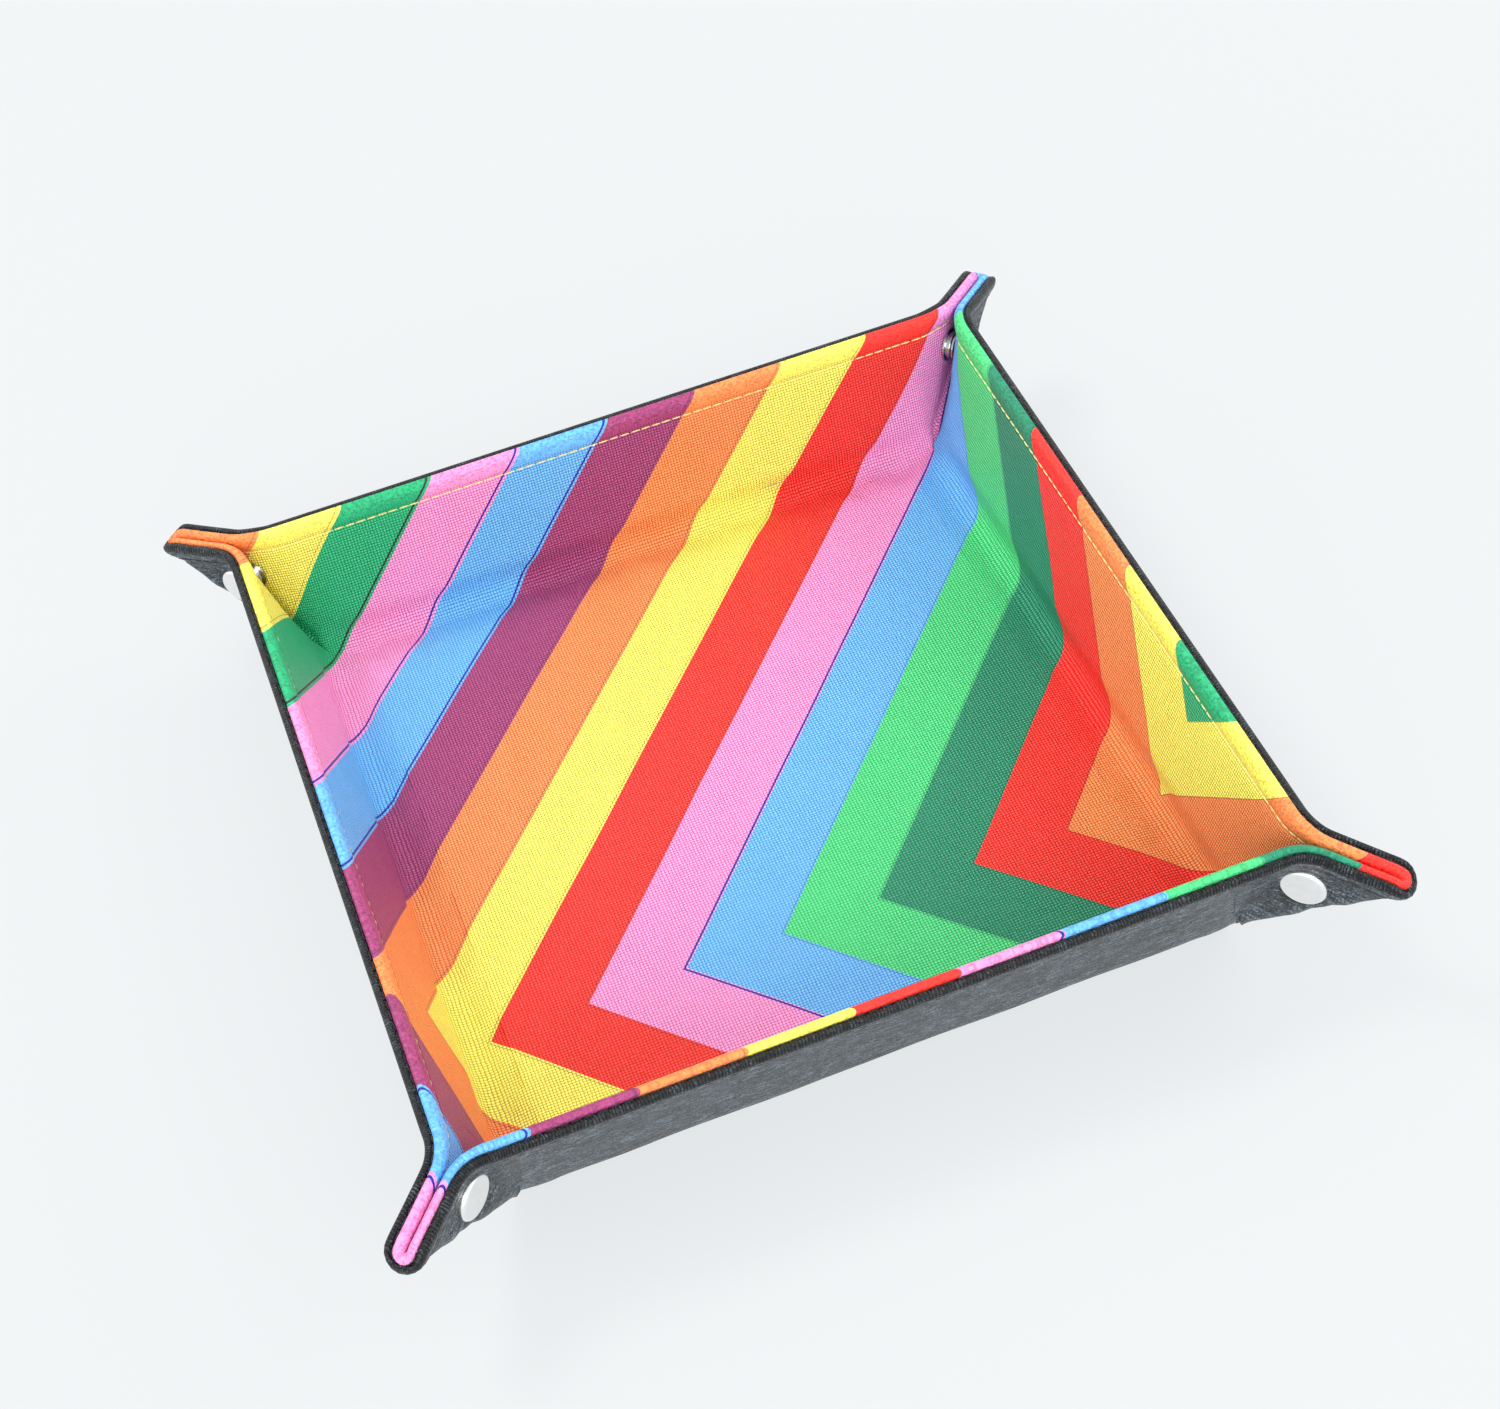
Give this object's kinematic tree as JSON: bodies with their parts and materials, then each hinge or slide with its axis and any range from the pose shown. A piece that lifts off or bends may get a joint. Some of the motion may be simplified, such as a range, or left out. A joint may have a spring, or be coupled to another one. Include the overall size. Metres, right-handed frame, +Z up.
{
  "type": "folding dice tray",
  "caption": "Square snap-up dice tray: one printed leatherette sheet with stiff boards, four folding walls and four pinched corner ears held by snap fasteners.",
  "frame": {"origin": "middle of the floor's underside, on the table", "axes": "+Z up out of the tray; -Y is the front wall and +X the right wall"},
  "size_m": [0.2526, 0.2526, 0.0438],
  "materials": {
    "black_leatherette": "satin black imitation leather with a fine pebble grain",
    "printed_leatherette": "semi-gloss imitation leather with a fine cross-hatched emboss, printed in bright chevron stripes",
    "stiff_board": "plain grey board, hidden inside the sheet",
    "thread": "pale yellow polyester sewing thread",
    "nickel": "smooth bright nickel plate",
    "spring_steel": "bare spring wire"
  },
  "bodies": {
    "floor": {"floor_outer_cover": "black_leatherette", "floor_board": "stiff_board", "floor_lining": "printed_leatherette"},
    "front_wall": {"front_wall_outer_cover": "black_leatherette", "front_wall_board": "stiff_board", "front_wall_lining": "printed_leatherette", "front_wall_stitching": "thread"},
    "front_wall_left_ear": {"front_wall_left_ear_cover": "black_leatherette", "front_wall_left_ear_lining": "printed_leatherette", "front_wall_left_snap_cap": "nickel", "front_wall_left_snap_socket": "nickel", "front_wall_left_socket_spring": "spring_steel"},
    "front_wall_right_ear": {"front_wall_right_ear_cover": "black_leatherette", "front_wall_right_ear_lining": "printed_leatherette", "front_wall_right_snap_cap": "nickel", "front_wall_right_snap_socket": "nickel", "front_wall_right_socket_spring": "spring_steel"},
    "back_wall": {"back_wall_outer_cover": "black_leatherette", "back_wall_board": "stiff_board", "back_wall_lining": "printed_leatherette", "back_wall_stitching": "thread"},
    "back_wall_right_ear": {"back_wall_right_ear_cover": "black_leatherette", "back_wall_right_ear_lining": "printed_leatherette", "back_wall_right_snap_cap": "nickel", "back_wall_right_snap_socket": "nickel", "back_wall_right_socket_spring": "spring_steel"},
    "back_wall_left_ear": {"back_wall_left_ear_cover": "black_leatherette", "back_wall_left_ear_lining": "printed_leatherette", "back_wall_left_snap_cap": "nickel", "back_wall_left_snap_socket": "nickel", "back_wall_left_socket_spring": "spring_steel"},
    "left_wall": {"left_wall_outer_cover": "black_leatherette", "left_wall_board": "stiff_board", "left_wall_lining": "printed_leatherette", "left_wall_stitching": "thread"},
    "left_wall_back_ear": {"left_wall_back_ear_cover": "black_leatherette", "left_wall_back_ear_lining": "printed_leatherette", "left_wall_back_snap_cap": "nickel", "left_wall_back_snap_stud": "nickel"},
    "left_wall_front_ear": {"left_wall_front_ear_cover": "black_leatherette", "left_wall_front_ear_lining": "printed_leatherette", "left_wall_front_snap_cap": "nickel", "left_wall_front_snap_stud": "nickel"},
    "right_wall": {"right_wall_outer_cover": "black_leatherette", "right_wall_board": "stiff_board", "right_wall_lining": "printed_leatherette", "right_wall_stitching": "thread"},
    "right_wall_front_ear": {"right_wall_front_ear_cover": "black_leatherette", "right_wall_front_ear_lining": "printed_leatherette", "right_wall_front_snap_cap": "nickel", "right_wall_front_snap_stud": "nickel"},
    "right_wall_back_ear": {"right_wall_back_ear_cover": "black_leatherette", "right_wall_back_ear_lining": "printed_leatherette", "right_wall_back_snap_cap": "nickel", "right_wall_back_snap_stud": "nickel"}
  },
  "joints": [
    {"name": "front_wall_fold", "type": "hinge", "parent": "floor", "child": "front_wall", "pos_m": [0, -0.0935, 0.0055], "axis": [1, 0, 0], "range_deg": [0, 72]},
    {"name": "front_wall_left_ear_fold", "type": "hinge", "parent": "front_wall", "child": "front_wall_left_ear", "pos_m": [-0.0935, -0.0935, 0.0055], "axis": [0.2952, 0.2952, -0.9087], "range_deg": [0, 47.75]},
    {"name": "front_wall_right_ear_fold", "type": "hinge", "parent": "front_wall", "child": "front_wall_right_ear", "pos_m": [0.0935, -0.0935, 0.0055], "axis": [0.2952, -0.2952, 0.9087], "range_deg": [0, 47.75]},
    {"name": "back_wall_fold", "type": "hinge", "parent": "floor", "child": "back_wall", "pos_m": [0, 0.0935, 0.0055], "axis": [-1, 0, 0], "range_deg": [0, 72]},
    {"name": "back_wall_right_ear_fold", "type": "hinge", "parent": "back_wall", "child": "back_wall_right_ear", "pos_m": [0.0935, 0.0935, 0.0055], "axis": [-0.2952, -0.2952, -0.9087], "range_deg": [0, 47.75]},
    {"name": "back_wall_left_ear_fold", "type": "hinge", "parent": "back_wall", "child": "back_wall_left_ear", "pos_m": [-0.0935, 0.0935, 0.0055], "axis": [-0.2952, 0.2952, 0.9087], "range_deg": [0, 47.75]},
    {"name": "left_wall_fold", "type": "hinge", "parent": "floor", "child": "left_wall", "pos_m": [-0.0935, 0, 0.0055], "axis": [0, -1, 0], "range_deg": [0, 72]},
    {"name": "left_wall_back_ear_fold", "type": "hinge", "parent": "left_wall", "child": "left_wall_back_ear", "pos_m": [-0.0935, 0.0935, 0.0055], "axis": [0.2952, -0.2952, -0.9087], "range_deg": [0, 47.75]},
    {"name": "left_wall_front_ear_fold", "type": "hinge", "parent": "left_wall", "child": "left_wall_front_ear", "pos_m": [-0.0935, -0.0935, 0.0055], "axis": [-0.2952, -0.2952, 0.9087], "range_deg": [0, 47.75]},
    {"name": "right_wall_fold", "type": "hinge", "parent": "floor", "child": "right_wall", "pos_m": [0.0935, 0, 0.0055], "axis": [0, 1, 0], "range_deg": [0, 72]},
    {"name": "right_wall_front_ear_fold", "type": "hinge", "parent": "right_wall", "child": "right_wall_front_ear", "pos_m": [0.0935, -0.0935, 0.0055], "axis": [-0.2952, 0.2952, -0.9087], "range_deg": [0, 47.75]},
    {"name": "right_wall_back_ear_fold", "type": "hinge", "parent": "right_wall", "child": "right_wall_back_ear", "pos_m": [0.0935, 0.0935, 0.0055], "axis": [0.2952, 0.2952, 0.9087], "range_deg": [0, 47.75]}
  ],
  "couplings": [
    {"joint": "front_wall_left_ear_fold", "follows": "front_wall_fold", "ratio": 0.66305},
    {"joint": "front_wall_right_ear_fold", "follows": "front_wall_fold", "ratio": 0.66305},
    {"joint": "back_wall_fold", "follows": "front_wall_fold", "ratio": 1},
    {"joint": "back_wall_right_ear_fold", "follows": "front_wall_fold", "ratio": 0.66305},
    {"joint": "back_wall_left_ear_fold", "follows": "front_wall_fold", "ratio": 0.66305},
    {"joint": "left_wall_fold", "follows": "front_wall_fold", "ratio": 1},
    {"joint": "left_wall_back_ear_fold", "follows": "front_wall_fold", "ratio": 0.66305},
    {"joint": "left_wall_front_ear_fold", "follows": "front_wall_fold", "ratio": 0.66305},
    {"joint": "right_wall_fold", "follows": "front_wall_fold", "ratio": 1},
    {"joint": "right_wall_front_ear_fold", "follows": "front_wall_fold", "ratio": 0.66305},
    {"joint": "right_wall_back_ear_fold", "follows": "front_wall_fold", "ratio": 0.66305}
  ]
}
